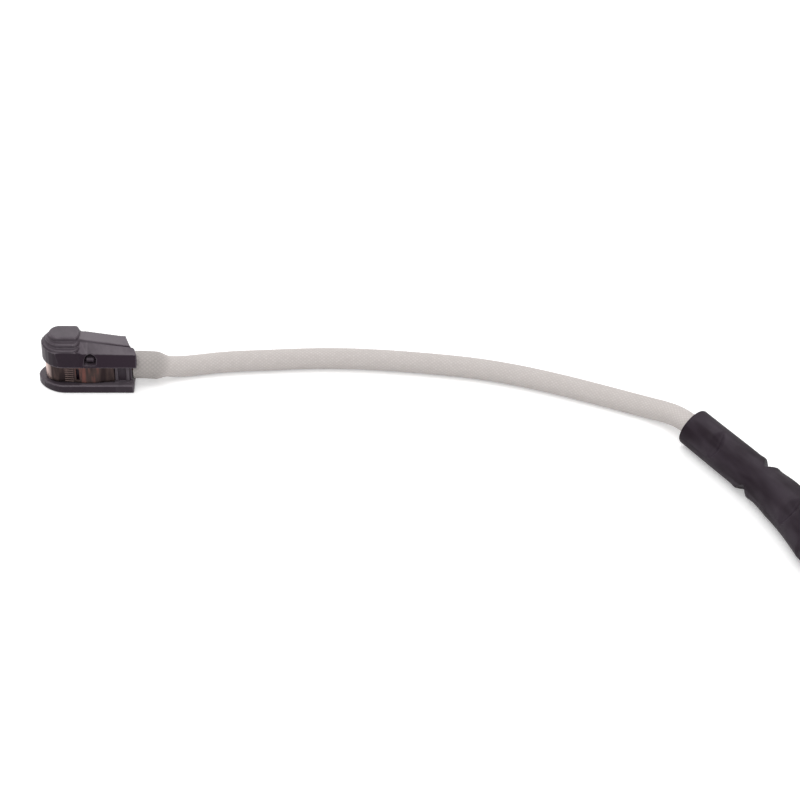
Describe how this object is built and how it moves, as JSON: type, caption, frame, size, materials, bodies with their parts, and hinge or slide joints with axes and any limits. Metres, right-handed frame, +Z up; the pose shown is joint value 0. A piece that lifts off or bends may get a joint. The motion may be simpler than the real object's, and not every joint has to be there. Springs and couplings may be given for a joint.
{
  "type": "brake pad wear sensor",
  "caption": "Clip-on brake pad wear sensor: slotted plastic head with a spring clip, braided sleeve, rubber boot, jacketed lead and plug-in connector.",
  "frame": {"origin": "On the floor under the middle of the head's box; the head stands on its flange.", "axes": "+X runs along the head from its round nose to where the lead leaves, +Z is up, and +Y is the far side as the picture shows it."},
  "size_m": [0.2402, 0.1239, 0.0149],
  "materials": {
    "head_plastic": "satin black moulded plastic",
    "spring_bronze": "bare spring bronze",
    "copper": "bare copper",
    "tin": "tin plate",
    "insulation": "insulation",
    "braid": "fine pale grey braid",
    "boot_rubber": "matte black rubber",
    "lead_jacket": "smooth black jacket",
    "connector_plastic": "satin black moulded plastic",
    "lock_plastic": "light grey moulded plastic",
    "seal_rubber": "silicone rubber",
    "tie_plastic": "black strap"
  },
  "bodies": {
    "root": {"sensor_base": "head_plastic", "sensor_cover": "head_plastic", "retaining_clip": "spring_bronze", "wear_loop": "copper", "crimp_a": "tin", "crimp_b": "tin", "wire_tail_a": "insulation", "wire_tail_b": "insulation", "braided_sleeve": "braid", "rubber_boot": "boot_rubber", "lead_run": "lead_jacket", "lead_coil": "lead_jacket", "lead_tail": "lead_jacket", "coil_tie": "tie_plastic", "connector_housing": "connector_plastic", "connector_cap": "connector_plastic", "wire_seal": "seal_rubber", "face_seal": "seal_rubber", "terminal_lock": "lock_plastic", "pin_a": "tin", "pin_b": "tin"}
  },
  "joints": []
}
